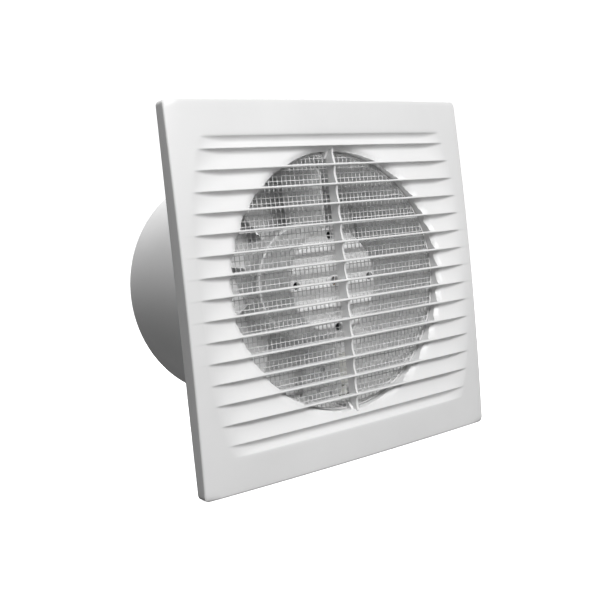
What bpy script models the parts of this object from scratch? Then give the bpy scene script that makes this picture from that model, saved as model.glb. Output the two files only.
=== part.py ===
"""Bathroom extractor fan for a 150 mm duct, with a square louvred front cover.

Metres, +Z up. The fan hangs on a wall whose face is the plane y = 0. The room is on the -Y side and the
duct on the +Y side. The origin is where the duct's axis meets the wall's face.
"""
import math

import bmesh
import bpy
from mathutils import Matrix, Vector

# Driving dimensions
GAP = 0.0003            # clearance between pieces that touch
PANEL_HALF = 0.1025     # half the side of the square front
PANEL_CORNER = 0.0030   # plan radius of the front's corners
CORNER_DEPTH = 0.0078   # how far the dome stands out at a corner
CROWN = 0.0050          # extra height of the dome at its middle
EDGE_ROUND = 0.0011     # rounding along the front's edge
COVER_WALL = 0.0020     # wall of the cover
FLANGE_THICK = 0.0020   # wall flange of the casing
FLANGE_HALF = 0.1001    # the flange lies inside the cover's skirt
SPIGOT_OUTER = 0.0750
SPIGOT_WALL = 0.0022
SPIGOT_LENGTH = 0.1178
OPENING_R = 0.0740      # opening in the cover
COLLAR_WALL = 0.0016

# Louvres: a sawtooth whose lips run along X, the opening's blades being its lips
LOUVRE_PITCH = 0.01094
MIDDLE_LIP_Z = 0.0006
LIPS_EACH_WAY = 7       # full-pitch lips above and below the middle one
END_PITCH = 0.6         # height of the first and last louvre, in pitches
LOUVRE_DEPTH = 0.0032
LIP_FLANK = 0.0020      # height of the flank under each lip
LOUVRE_REACH = 0.0951   # half-length of the middle louvre
LOUVRE_SHORTER = 0.0086  # how much shorter the outermost full louvres are
LOUVRE_TAPER = 0.0160   # length over which a louvre fades out
BLADE_THICK = 0.0013
BLADE_BACK_Y = -0.0062
RIB_THICK = 0.0013
RIB_RECESS = 0.0004     # the rib's front edge behind the louvres' surface
RIB_BACK_Y = -0.0035
TONGUE_HALF = 0.0022    # half the width of the snap tongues, which lie behind the rib's ends
TONGUE_SLIT = 0.0010    # open slit on each side of a tongue

# Insect screen
SCREEN_R = 0.0737
SCREEN_RING = 0.0018
SCREEN_Y = -0.0027
SCREEN_RING_HALF = 0.0004
SCREEN_WIRE = 0.0011
SCREEN_CELLS = 6

# Motor cup, moulded in the casing
CUP_FRONT_Y = 0.0010
CUP_BACK_Y = 0.0300
CUP_FRONT_R = 0.0305
CUP_BACK_R = 0.0345
CUP_WALL = 0.0018
CUP_HOLE_R = 0.0023
CUP_HOLE_PLACE = 0.0267
BOSS_R = 0.0040
STRUT_THICK = 0.0018
STRUT_FRONT_Y = 0.0045
STRUT_BACK_Y = 0.0420
STRUT_TONGUE_Y = 0.0085  # where the struts begin beside the wall, clear of the cover's tongues

# Motor
SHAFT_R = 0.0025
RUNNING_GAP = 0.00015
BEARING_R = 0.0050
STATOR_FRONT_Y = 0.0090
STATOR_BACK_Y = 0.0230
STATOR_R = 0.0289
YOKE_INNER_R = 0.0234
POLE_HALF = 0.0050
ROTOR_R = 0.0126
STATOR_BORE_R = 0.0130
SHOE_R = 0.0158
CHEEK_OUT = 0.0042      # how far the bobbins' cheeks stand out from the poles' necks
WINDING_OUT = 0.0037
SHADING_R = 0.0135
SHADING_THICK = 0.0010
SHADING_HALF = 0.0040
SHADING_LEG = 0.0011
SCREW_R = 0.0014
SCREW_PLACE = 0.0262
BRACKET_R = 0.0322
BRACKET_FRONT_Y = 0.0286
BRACKET_BACK_Y = 0.0304

# Impeller
HUB_FRONT_Y = 0.0360
HUB_BACK_Y = 0.0685
HUB_R = 0.0320
HUB_WALL = 0.0020
BLADE_COUNT = 9
FIRST_BLADE = 0.2       # where round the hub the first blade stands, in radians
ROOT_PITCH = 30         # degrees out of the plane of rotation
TIP_PITCH = 12
ROOT_CHORD = 0.0340
TIP_CHORD = 0.0900
FAN_BLADE_TIP_R = 0.0718
FAN_BLADE_MIDDLE_Y = 0.0575
FAN_BLADE_THICK = 0.0020

# Wiring, on the lower strut's right-hand face
BLOCK_LOW = Vector((0.0013, 0.0090, -0.0620))
BLOCK_HIGH = Vector((0.0125, 0.0290, -0.0440))
LEAD_R = 0.0009
LEAD_Y = 0.0256
LEAD_HOLE = Vector((0.0058, LEAD_Y, -0.0330))
CLAMP_LOW = Vector((0.0013, 0.0100, -0.0684))
CLAMP_HIGH = Vector((0.0085, 0.0280, -0.0634))
GROMMET_PLACE = Vector((0.0120, 0.0190, -0.0740))
GROMMET_R = 0.0048
WALL_HOLE_R = 0.0023
WALL_HOLE_PLACE = 0.0840

AROUND_DUCT = 64        # sides of the duct-sized rounds
AROUND_MOTOR = 32
AROUND_SMALL = 16
AROUND_TINY = 10


def clear_scene():
    """Remove what the opened file holds."""
    for thing in list(bpy.data.objects):
        bpy.data.objects.remove(thing, do_unlink=True)


def make_collection(name):
    group = bpy.data.collections.new(name)
    bpy.context.scene.collection.children.link(group)
    return group


def make_material(name, color, roughness, metallic=0.0):
    material = bpy.data.materials.new(name)
    material.use_nodes = True
    shader = material.node_tree.nodes["Principled BSDF"]
    shader.inputs["Base Color"].default_value = (*color, 1.0)
    shader.inputs["Roughness"].default_value = roughness
    shader.inputs["Metallic"].default_value = metallic
    return material


clear_scene()
PARTS = make_collection("bathroom_extractor_fan")
CUTTERS = make_collection("cutters")


# Building blocks

def add_object(name, mesh, material):
    """Put a mesh in the part's collection under its node's name."""
    thing = bpy.data.objects.new(name, mesh)
    PARTS.objects.link(thing)
    if material is not None:
        mesh.materials.append(material)
    mesh.shade_smooth()
    mesh.set_sharp_from_angle(angle=math.radians(35))
    return thing


def from_bmesh(name, shape, material=None):
    mesh = bpy.data.meshes.new(name)
    bmesh.ops.recalc_face_normals(shape, faces=shape.faces)
    shape.to_mesh(mesh)
    shape.free()
    return add_object(name, mesh, material)


def block(name, low, high, material=None):
    """A box between two corners."""
    low = Vector(low)
    high = Vector(high)
    shape = bmesh.new()
    bmesh.ops.create_cube(shape, size=1.0)
    bmesh.ops.scale(shape, vec=high - low, verts=shape.verts)
    bmesh.ops.translate(shape, vec=(low + high) / 2, verts=shape.verts)
    return from_bmesh(name, shape, material)


AXIS_TURNS = {
    "X": Matrix.Rotation(math.pi / 2, 4, "Y"),
    "Y": Matrix.Rotation(-math.pi / 2, 4, "X"),
    "Z": Matrix.Identity(4),
}


def rod(name, start, end, radius, axis, material=None, sides=AROUND_SMALL, twist=0.0):
    """A cylinder along one axis, between two points, turned about itself by a twist."""
    start = Vector(start)
    end = Vector(end)
    shape = bmesh.new()
    bmesh.ops.create_cone(shape, cap_ends=True, segments=sides, radius1=radius, radius2=radius,
                          depth=(end - start).length)
    turn = AXIS_TURNS[axis] @ Matrix.Rotation(twist, 4, "Z")
    bmesh.ops.transform(shape, matrix=turn, verts=shape.verts)
    bmesh.ops.translate(shape, vec=(start + end) / 2, verts=shape.verts)
    return from_bmesh(name, shape, material)


def turned(name, profile, material=None, sides=AROUND_MOTOR):
    """Turn a closed profile of (radius, y) points about the duct's axis.

    The profile runs along its outer side from the far end to the near one, and back inside.
    """
    mesh = bpy.data.meshes.new(name)
    points = [(radius, 0.0, along) for radius, along in profile]
    edges = [(i, i + 1) for i in range(len(points) - 1)]
    if profile[0][0] > 0 or profile[-1][0] > 0:
        edges.append((len(points) - 1, 0))
    mesh.from_pydata(points, edges, [])
    thing = add_object(name, mesh, material)
    thing.rotation_euler = (-math.pi / 2, 0, 0)
    screw = thing.modifiers.new("turn", "SCREW")
    screw.axis = "Z"
    screw.steps = sides
    screw.render_steps = sides
    screw.use_merge_vertices = True
    screw.merge_threshold = 0.00001
    screw.use_smooth_shade = True
    return thing


def plate(name, outline, thickness, plane, place=0.0, material=None):
    """A flat plate from a 2D outline.

    In plane YZ the outline's points are (y, z) and the plate is centred on x = place. In plane XY they are
    (x, y), and it is centred on z = place. In plane XZ they are (x, z), and it is centred on y = place.
    """
    curve = bpy.data.curves.new(name, "CURVE")
    curve.dimensions = "2D"
    curve.fill_mode = "BOTH"
    curve.extrude = thickness / 2
    spline = curve.splines.new("POLY")
    spline.points.add(len(outline) - 1)
    for point, (across, up) in zip(spline.points, outline):
        point.co = (across, up, 0.0, 1.0)
    spline.use_cyclic_u = True
    guide = bpy.data.objects.new(name + "_outline", curve)
    PARTS.objects.link(guide)
    swap_axes = Matrix(((0, 0, 1, 0), (1, 0, 0, 0), (0, 1, 0, 0), (0, 0, 0, 1)))
    turns = {
        "XY": Matrix.Translation((0, 0, place)),
        "XZ": Matrix.Translation((0, place, 0)) @ Matrix.Rotation(math.pi / 2, 4, "X"),
        "YZ": Matrix.Translation((place, 0, 0)) @ swap_axes,
    }
    guide.matrix_world = turns[plane]
    bpy.context.view_layer.update()
    shape = bmesh.new()
    evaluated = guide.evaluated_get(bpy.context.evaluated_depsgraph_get())
    shape.from_mesh(bpy.data.meshes.new_from_object(evaluated))
    bmesh.ops.transform(shape, matrix=guide.matrix_world, verts=shape.verts)
    bmesh.ops.remove_doubles(shape, verts=shape.verts, dist=0.000001)
    bpy.data.objects.remove(guide, do_unlink=True)
    return from_bmesh(name, shape, material)


def loft(name, sections, material=None):
    """Skin a row of sections that have the same number of points, and close both ends."""
    shape = bmesh.new()
    rings = [[shape.verts.new(point) for point in section] for section in sections]
    for ring, following in zip(rings, rings[1:]):
        count = len(ring)
        for i in range(count):
            j = (i + 1) % count
            shape.faces.new((ring[i], ring[j], following[j], following[i]))
    shape.faces.new(rings[0])
    shape.faces.new(rings[-1])
    return from_bmesh(name, shape, material)


def wire(name, points, radius, material):
    """A round wire through the points, with closed ends."""
    curve = bpy.data.curves.new(name, "CURVE")
    curve.dimensions = "3D"
    curve.bevel_depth = radius
    curve.bevel_resolution = 2
    curve.use_fill_caps = True
    spline = curve.splines.new("POLY")
    spline.points.add(len(points) - 1)
    for point, place in zip(spline.points, points):
        point.co = (*place, 1.0)
    curve.materials.append(material)
    thing = bpy.data.objects.new(name, curve)
    PARTS.objects.link(thing)
    return thing


def as_tool(thing):
    """Move an object out of the part, to cut or to join with."""
    PARTS.objects.unlink(thing)
    CUTTERS.objects.link(thing)
    thing.hide_render = True
    thing.display_type = "WIRE"
    return thing


def combine(target, tool, operation):
    as_tool(tool)
    step = target.modifiers.new(operation.lower(), "BOOLEAN")
    step.operation = operation
    step.solver = "EXACT"
    step.object = tool


def cut(target, *tools):
    for tool in tools:
        combine(target, tool, "DIFFERENCE")


def join(target, *tools):
    for tool in tools:
        combine(target, tool, "UNION")


def ring_profile(outer, inner, near_y, far_y):
    """A plain ring's section for turned()."""
    return [(outer, far_y), (outer, near_y), (inner, near_y), (inner, far_y)]


def arc(radius, start, end, count):
    """Points on an arc about the origin, from one angle in degrees to another."""
    angles = [math.radians(start + (end - start) * i / count) for i in range(count + 1)]
    return [(radius * math.cos(angle), radius * math.sin(angle)) for angle in angles]


def rounded_square(half, radius, steps=4):
    """The outline of a square with round corners."""
    points = []
    for quarter, (sign_x, sign_z) in enumerate(((1, 1), (-1, 1), (-1, -1), (1, -1))):
        centre = (sign_x * (half - radius), sign_z * (half - radius))
        corner = arc(radius, quarter * 90, quarter * 90 + 90, steps)
        points += [(centre[0] + x, centre[1] + z) for x, z in corner]
    return points


# The front cover's shape

def dome_depth(x, z):
    """How far the smooth dome stands out from the wall plane."""
    return CORNER_DEPTH + CROWN * (1 - (x * x + z * z) / (2 * PANEL_HALF ** 2))


def lip_heights():
    """Heights of the lips from top to bottom, with the short louvres' edges at both ends."""
    count = LIPS_EACH_WAY
    full = [MIDDLE_LIP_Z + LOUVRE_PITCH * step for step in range(count, -count - 1, -1)]
    end = END_PITCH * LOUVRE_PITCH
    return [full[0] + end] + full + [full[-1] - end]


LIPS = lip_heights()


def louvre_strength(x, z):
    """1 along a louvre, fading to 0 towards its pointed ends."""
    outer_lip = LOUVRE_PITCH * LIPS_EACH_WAY
    reach = LOUVRE_REACH - LOUVRE_SHORTER * (abs(z) / outer_lip) ** 3
    inside = min(max((reach - abs(x)) / LOUVRE_TAPER, 0.0), 1.0)
    return 1 - (1 - inside) ** 2


def louvre_inset(x, z):
    """How far the sawtooth lies behind the dome."""
    for upper, lower in zip(LIPS, LIPS[1:]):
        if lower <= z <= upper:
            height = upper - lower
            full = LOUVRE_DEPTH * height / LOUVRE_PITCH
            below = upper - z
            if below < LIP_FLANK:
                part = below / LIP_FLANK
            else:
                part = (height - below) / (height - LIP_FLANK)
            return full * part * louvre_strength(x, z)
    return 0.0


def edge_drop(x, z):
    """How far the front falls back in the rounding along the panel's edge."""
    straight = PANEL_HALF - PANEL_CORNER
    over_x = max(abs(x) - straight, 0.0)
    over_z = max(abs(z) - straight, 0.0)
    inside = PANEL_CORNER - math.hypot(over_x, over_z)
    if over_x == 0.0 and over_z == 0.0:
        inside = PANEL_HALF - max(abs(x), abs(z))
    short = min(max(EDGE_ROUND - inside, 0.0), EDGE_ROUND)
    return EDGE_ROUND - math.sqrt(EDGE_ROUND ** 2 - short ** 2)


def front_y(x, z):
    return louvre_inset(x, z) + edge_drop(x, z) - dome_depth(x, z)


def columns():
    """Places across the cover where its surface is sampled."""
    inner = [LOUVRE_REACH * share for share in (0.0, 0.4, 0.7, 0.8, 0.88, 0.95)]
    edge = [PANEL_HALF - EDGE_ROUND * share for share in (1.0, 0.3, 0.0)]
    right = inner + edge
    return [-x for x in reversed(right[1:])] + right


def rows():
    """Heights at which the cover's surface is sampled: each lip and each flank's foot."""
    heights = list(LIPS) + [lip - LIP_FLANK for lip in LIPS[:-1]]
    for share in (1.0, 0.3, 0.0):
        edge = PANEL_HALF - EDGE_ROUND * share
        heights += [edge, -edge]
    return sorted(heights)


def height_field(name, offset, half, back_y, material=None):
    """A solid whose front is the louvred surface moved back by an offset, and whose back is flat."""
    across = [x for x in columns() if abs(x) < half - 0.0004]
    across = [-half] + across + [half]
    up = [z for z in rows() if abs(z) < half - 0.0004]
    up = [-half] + up + [half]
    shape = bmesh.new()
    front = [[shape.verts.new((x, front_y(x, z) + offset, z)) for x in across] for z in up]
    for lower, upper in zip(front, front[1:]):
        for i in range(len(across) - 1):
            shape.faces.new((lower[i], lower[i + 1], upper[i + 1], upper[i]))
    border = [edge for edge in shape.edges if edge.is_boundary]
    moved = bmesh.ops.extrude_edge_only(shape, edges=border)["geom"]
    back = [piece for piece in moved if isinstance(piece, bmesh.types.BMVert)]
    for vert in back:
        vert.co.y = back_y
    bmesh.ops.contextual_create(shape, geom=[edge for edge in shape.edges if edge.is_boundary])
    return from_bmesh(name, shape, material)


def build_cover(material):
    cover = height_field("grille_cover", 0.0, PANEL_HALF, -GAP, material)
    outline = rounded_square(PANEL_HALF, PANEL_CORNER)
    combine(cover, plate("cover_outline", outline, 0.04, "XZ", -0.01), "INTERSECT")
    hollow = height_field("cover_hollow", COVER_WALL, PANEL_HALF - COVER_WALL, 0.004)
    collar = rod("collar_keep", (0, -0.03, 0), (0, 0.03, 0), OPENING_R + COLLAR_WALL, "Y", sides=AROUND_DUCT)
    cut(hollow, collar)
    cut(cover, hollow)
    cut(cover, rod("cover_opening", (0, -0.03, 0), (0, 0.03, 0), OPENING_R, "Y", sides=AROUND_DUCT))
    room = FLANGE_HALF + GAP
    cut(cover, block("flange_room", (-room, -FLANGE_THICK - GAP, -room), (room, 0.01, room)))
    for number, lip in enumerate(LIPS[2:-2], 1):
        join(cover, opening_blade(number, lip))
    join(cover, centre_rib(), snap_tongue("tongue_top", 1), snap_tongue("tongue_bottom", -1))
    return cover


def opening_blade(number, lip):
    """A thin blade across the opening, its front edge in line with the lip."""
    reach = math.sqrt((OPENING_R + COLLAR_WALL / 2) ** 2 - lip ** 2)
    stations = [reach * step / 5 for step in range(-5, 6)]
    outline = [(x, -dome_depth(x, lip)) for x in stations]
    outline += [(reach, BLADE_BACK_Y), (-reach, BLADE_BACK_Y)]
    return plate(f"blade_{number}", outline, BLADE_THICK, "XY", lip - BLADE_THICK / 4)


def centre_rib():
    """The upright rib, whose front edge follows the louvres' slopes."""
    top = OPENING_R + COLLAR_WALL / 2
    heights = [-top] + [z for z in rows() if abs(z) < top - 0.0005] + [top]
    outline = [(RIB_RECESS + louvre_inset(0, z) - dome_depth(0, z), z) for z in heights]
    outline += [(RIB_BACK_Y, top), (RIB_BACK_Y, -top)]
    return plate("centre_rib_piece", outline, RIB_THICK, "YZ")


def snap_tongue(name, side):
    """A springy tongue that runs from the collar into the spigot's mouth."""
    foot_y = -FLANGE_THICK - 2 * GAP
    outer = OPENING_R + COLLAR_WALL / 2
    bore = SPIGOT_OUTER - SPIGOT_WALL
    outline = [(foot_y - 0.004, outer), (foot_y, outer), (foot_y, bore - 0.0013), (0.0028, bore - 0.0013),
               (0.0034, bore - 0.0008), (0.0052, bore - 0.0015), (0.0056, bore - 0.0028),
               (foot_y - 0.004, bore - 0.0028)]
    outline = [(y, side * z) for y, z in outline]
    return plate(name, outline, 2 * TONGUE_HALF, "YZ")


# The casing

def cup_radius(y):
    """Outer radius of the cup's tapering side."""
    share = (y - CUP_FRONT_Y) / (CUP_BACK_Y - CUP_FRONT_Y)
    return CUP_FRONT_R + (CUP_BACK_R - CUP_FRONT_R) * share


def motor_cup():
    """The cup that holds the motor: tapering side, front face, outer boss and the bearing's seat."""
    face_back = CUP_FRONT_Y + CUP_WALL
    seat_back = face_back + 0.0050
    seat_inner = BEARING_R + GAP
    rim_y = CUP_BACK_Y - 0.0030
    profile = [
        (CUP_BACK_R + 0.0008, CUP_BACK_Y), (CUP_BACK_R + 0.0008, rim_y), (cup_radius(rim_y), rim_y),
        (CUP_FRONT_R, CUP_FRONT_Y + 0.0012), (CUP_FRONT_R - 0.0012, CUP_FRONT_Y),
        (BOSS_R, CUP_FRONT_Y), (BOSS_R, CUP_FRONT_Y - 0.0010), (BOSS_R - 0.0013, CUP_FRONT_Y - 0.0010),
        (BOSS_R - 0.0013, face_back - GAP), (seat_inner, face_back - GAP),
        (seat_inner, seat_back), (seat_inner + 0.0018, seat_back), (seat_inner + 0.0018, face_back),
        (cup_radius(face_back) - CUP_WALL, face_back), (CUP_BACK_R - CUP_WALL, CUP_BACK_Y),
    ]
    cup = turned("motor_cup", profile, sides=AROUND_MOTOR)
    for side in (1, -1):
        place = side * SCREW_PLACE * math.sqrt(0.5)
        join(cup, rod(f"screw_post_{side}", (place, face_back - 0.0006, place), (place, 0.0072, place),
                      SCREW_R + 0.0018, "Y", sides=AROUND_TINY))
        cut(cup, rod(f"screw_pilot_{side}", (place, 0.0038, place), (place, 0.0100, place),
                     SCREW_R + GAP, "Y", sides=AROUND_TINY))
    for turn in range(4):
        angle = math.radians(90 * turn)
        x = CUP_HOLE_PLACE * math.cos(angle)
        z = CUP_HOLE_PLACE * math.sin(angle)
        cut(cup, rod(f"cup_hole_{turn}", (x, -0.004, z), (x, 0.0050, z), CUP_HOLE_R, "Y", sides=AROUND_TINY,
                     twist=0.1))
    low = LEAD_HOLE + Vector((0, 0, -0.006))
    high = LEAD_HOLE + Vector((0, 0, 0.006))
    cut(cup, rod("lead_hole", low, high, 0.0030, "Z", sides=AROUND_TINY))
    return cup


def strut(name, side):
    """A plate in the plane x = 0 between the cup and the spigot's wall."""
    bury = CUP_WALL / 2
    outer = SPIGOT_OUTER - SPIGOT_WALL / 2
    clear_z = SPIGOT_OUTER - SPIGOT_WALL - 0.0055
    outline = [
        (STRUT_FRONT_Y, cup_radius(STRUT_FRONT_Y) - bury), (STRUT_FRONT_Y, clear_z - 0.004),
        (STRUT_TONGUE_Y, clear_z), (STRUT_TONGUE_Y, outer), (STRUT_BACK_Y, outer),
        (STRUT_BACK_Y, CUP_BACK_R), (CUP_BACK_Y - 0.001, CUP_BACK_R - bury),
    ]
    return plate(name, [(y, side * z) for y, z in outline], STRUT_THICK, "YZ")


def build_casing(material):
    inner = SPIGOT_OUTER - SPIGOT_WALL
    lead_in = 0.0008
    profile = [
        (SPIGOT_OUTER - lead_in, SPIGOT_LENGTH), (SPIGOT_OUTER, SPIGOT_LENGTH - 2 * lead_in),
        (SPIGOT_OUTER, -0.0013), (inner, -0.0013), (inner, SPIGOT_LENGTH),
    ]
    casing = turned("casing", profile, material, AROUND_DUCT)
    flange = plate("flange", rounded_square(FLANGE_HALF, PANEL_CORNER), FLANGE_THICK, "XZ", -FLANGE_THICK / 2)
    mouth = rod("spigot_mouth", (0, -0.02, 0), (0, 0.0003, 0), inner + 0.0004, "Y", sides=AROUND_DUCT,
                twist=0.01)
    join(casing, flange)
    cut(casing, mouth)
    join(casing, motor_cup(), strut("strut_top", 1), strut("strut_bottom", -1))
    for side_x in (1, -1):
        for side_z in (1, -1):
            x = side_x * WALL_HOLE_PLACE
            z = side_z * WALL_HOLE_PLACE
            cut(casing, rod(f"wall_hole_{side_x}_{side_z}", (x, -0.02, z), (x, 0.02, z), WALL_HOLE_R, "Y",
                            sides=AROUND_TINY))
    for side in (1, -1):
        low = (-0.0026, 0.0010, min(side * 0.070, side * 0.0775))
        high = (0.0026, 0.0072, max(side * 0.070, side * 0.0775))
        cut(casing, block(f"clip_window_{side}", low, high))
    below = GROMMET_PLACE + Vector((0, 0, -0.006))
    above = GROMMET_PLACE + Vector((0, 0, 0.006))
    cut(casing, rod("cable_hole", below, above, GROMMET_R + GAP, "Z", sides=AROUND_SMALL))
    holes = [("block_hole", block_screw_place(), 0.0018)]
    holes += [(f"clamp_hole_{i}", place, 0.0015) for i, place in enumerate(clamp_screw_places())]
    for name, place, radius in holes:
        cut(casing, rod(name, place - Vector((0.006, 0, 0)), place + Vector((0.006, 0, 0)), radius, "X",
                        sides=AROUND_TINY))
    return casing


# The screen

def build_screen(material):
    """A net of crossing wires in a ring."""
    half = SCREEN_RING_HALF
    screen = turned("insect_screen", ring_profile(SCREEN_R, SCREEN_R - SCREEN_RING, SCREEN_Y - half,
                                                  SCREEN_Y + half), material, AROUND_DUCT)
    spacing = 2 * SCREEN_R / SCREEN_CELLS
    for i in range(SCREEN_CELLS - 1):
        place = (i + 1) * spacing - SCREEN_R
        reach = math.sqrt((SCREEN_R - SCREEN_RING / 2) ** 2 - place ** 2)
        wide = SCREEN_WIRE / 2
        deep = SCREEN_WIRE / 4
        join(screen, block(f"wire_up_{i}", (place - wide, SCREEN_Y - deep, -reach),
                           (place + wide, SCREEN_Y + deep, reach)))
        join(screen, block(f"wire_across_{i}", (-reach, SCREEN_Y - deep * 0.8, place - wide),
                           (reach, SCREEN_Y + deep * 0.8, place + wide)))
    bore = SPIGOT_OUTER - SPIGOT_WALL
    for side in (1, -1):
        inner = side * (bore - 0.0045)
        outer = side * (bore + 0.004)
        low = (-TONGUE_HALF - TONGUE_SLIT, -0.01, min(inner, outer))
        high = (TONGUE_HALF + TONGUE_SLIT, 0.01, max(inner, outer))
        cut(screen, block(f"tongue_gap_{side}", low, high))
    return screen


# The motor

def pole_outline(side):
    """A pole's neck and shoe, with the shoe's slot for the shading ring, for one side."""
    shoe_angle = 62
    face = arc(STATOR_BORE_R, -shoe_angle, shoe_angle, 14)
    neck_angle = math.degrees(math.asin(POLE_HALF / SHOE_R))
    root = YOKE_INNER_R + 0.0015
    back = arc(SHOE_R, shoe_angle - 6, neck_angle, 4) + [(root, POLE_HALF)]
    back += [(root, -POLE_HALF)] + arc(SHOE_R, -neck_angle, -shoe_angle + 6, 4)
    return [(side * x, z) for x, z in face + back]


def build_stator(material):
    middle = (STATOR_FRONT_Y + STATOR_BACK_Y) / 2
    thick = STATOR_BACK_Y - STATOR_FRONT_Y
    stator = turned("stator_core", ring_profile(STATOR_R, YOKE_INNER_R, STATOR_FRONT_Y, STATOR_BACK_Y), material)
    join(stator, plate("pole_right", pole_outline(1), thick - 0.00002, "XZ", middle))
    join(stator, plate("pole_left", pole_outline(-1), thick - 0.00002, "XZ", middle))
    for side in (1, -1):
        place = side * SCREW_PLACE * math.sqrt(0.5)
        cut(stator, rod(f"stator_hole_{side}", (place, 0, place), (place, 0.04, place), SCREW_R + GAP, "Y",
                        sides=AROUND_TINY))
        cut(stator, shading_slot(side))
    return stator


def tube_about_pole(name, side, near_x, far_x, inside, outside, material):
    """A rectangular sleeve about a pole's neck. Inside and outside are its clearances from the neck."""
    low_y = STATOR_FRONT_Y
    high_y = STATOR_BACK_Y
    x_low, x_high = sorted((side * near_x, side * far_x))
    sleeve = block(name, (x_low, low_y - outside, -POLE_HALF - outside),
                   (x_high, high_y + outside, POLE_HALF + outside), material)
    cut(sleeve, block(name + "_hole", (x_low - 0.01, low_y - inside, -POLE_HALF - inside),
                      (x_high + 0.01, high_y + inside, POLE_HALF + inside)))
    return sleeve


def build_coil(side, word, plastic, copper):
    near_x = SHOE_R + GAP
    far_x = math.sqrt(YOKE_INNER_R ** 2 - (POLE_HALF + CHEEK_OUT) ** 2) - GAP
    wall = 0.0007
    bobbin = tube_about_pole("bobbin_" + word, side, near_x, far_x, GAP, GAP + wall, plastic)
    for name, start in (("inner", near_x), ("outer", far_x - wall)):
        join(bobbin, tube_about_pole(f"cheek_{name}_{word}", side, start, start + wall, GAP, CHEEK_OUT, None))
    winding = tube_about_pole("winding_" + word, side, near_x + wall + GAP, far_x - wall - GAP,
                              2 * GAP + wall, WINDING_OUT, copper)
    soften = winding.modifiers.new("soft_edges", "BEVEL")
    soften.width = 0.0005
    soften.segments = 1
    soften.limit_method = "ANGLE"
    return bobbin, winding


def shading_place(side):
    """The frame of a shading ring: X outwards, Z along the pole's face, at one horn of a pole's shoe."""
    angle = math.radians(51 if side > 0 else 231)
    centre_y = (STATOR_BACK_Y + STATOR_FRONT_Y) / 2
    place = Vector((SHADING_R * math.cos(angle), centre_y, SHADING_R * math.sin(angle)))
    return Matrix.Translation(place) @ Matrix.Rotation(-angle, 4, "Y")


def shading_slot(side):
    """The slot in the pole's face that one leg of the shading ring lies in."""
    slot = block(f"shading_slot_{side}", (-0.0012, -0.02, -SHADING_HALF - GAP),
                 (SHADING_THICK / 2 + GAP, 0.02, GAP + SHADING_LEG - SHADING_HALF))
    slot.data.transform(shading_place(side))
    return slot


def build_shading_ring(side, word, material):
    """A copper loop lying round one horn of a pole's shoe."""
    half_y = (STATOR_BACK_Y - STATOR_FRONT_Y) / 2 + GAP
    thick = SHADING_THICK / 2
    ring = block("shading_ring_" + word, (-thick, -half_y - SHADING_LEG, -SHADING_HALF),
                 (thick, half_y + SHADING_LEG, SHADING_HALF), material)
    inner = SHADING_HALF - SHADING_LEG
    hole = block("shading_hole_" + word, (-0.01, -half_y, -inner), (0.01, half_y, inner))
    for thing in (ring, hole):
        thing.data.transform(shading_place(side))
    cut(ring, hole)
    return ring


def build_rotor(material):
    """The squirrel-cage rotor, with a low ring on each end."""
    bore = SHAFT_R + GAP / 2
    end_ring = 0.0100
    low = STATOR_FRONT_Y + 0.0006
    high = STATOR_BACK_Y - 0.0006
    profile = [
        (end_ring, STATOR_BACK_Y), (end_ring, high), (ROTOR_R, high), (ROTOR_R, low), (end_ring, low),
        (end_ring, STATOR_FRONT_Y), (0.0062, STATOR_FRONT_Y), (0.0062, low), (bore, low), (bore, high),
        (0.0062, high), (0.0062, STATOR_BACK_Y),
    ]
    return turned("rotor_core", profile, material)


def build_bracket(material):
    """The plate that closes the cup and carries the rear bearing."""
    seat = BEARING_R + GAP
    profile = [
        (0.0080, 0.0322), (0.0080, BRACKET_BACK_Y), (BRACKET_R, BRACKET_BACK_Y), (BRACKET_R, BRACKET_FRONT_Y),
        (0.0080, BRACKET_FRONT_Y), (0.0080, 0.0252), (seat, 0.0252), (seat, 0.0322),
    ]
    bracket = turned("motor_bracket", profile, material)
    for side in (1, -1):
        place = side * SCREW_PLACE * math.sqrt(0.5)
        cut(bracket, rod(f"bracket_hole_{side}", (place, 0.02, place), (place, 0.04, place), SCREW_R + GAP, "Y",
                         sides=AROUND_TINY, twist=0.1))
    for turn in range(4):
        angle = math.radians(90 * turn)
        x = 0.0190 * math.cos(angle)
        z = 0.0190 * math.sin(angle)
        cut(bracket, rod(f"bracket_vent_{turn}", (x, 0.02, z), (x, 0.04, z), 0.0045, "Y", sides=AROUND_TINY,
                         twist=0.1))
    return bracket


def screw(name, tip, head, axis, radius, head_radius, head_height, material):
    """A screw from its tip to the seat of its head, with a cross slot in the head."""
    tip = Vector(tip)
    seat = Vector(head)
    along = (seat - tip).normalized()
    top = seat + along * head_height
    body = rod(name, tip, seat + along * head_height * 0.5, radius, axis, material, AROUND_TINY)
    join(body, rod(name + "_head", seat, top, head_radius, axis, sides=AROUND_TINY))
    across = Vector((1, 1, 1)) - Vector([abs(value) for value in along])
    axes = [Vector((1, 0, 0)), Vector((0, 1, 0)), Vector((0, 0, 1))]
    for step, direction in enumerate(value for value in axes if value.dot(across) > 0.5):
        reach = direction * head_radius * 0.65
        thin = (across - direction) * head_radius * 0.14
        half = reach + thin + Vector([abs(value) for value in along]) * head_height * 0.45
        cut(body, block(f"{name}_slot_{step}", top - half, top + half))
    return body


# The impeller

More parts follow.
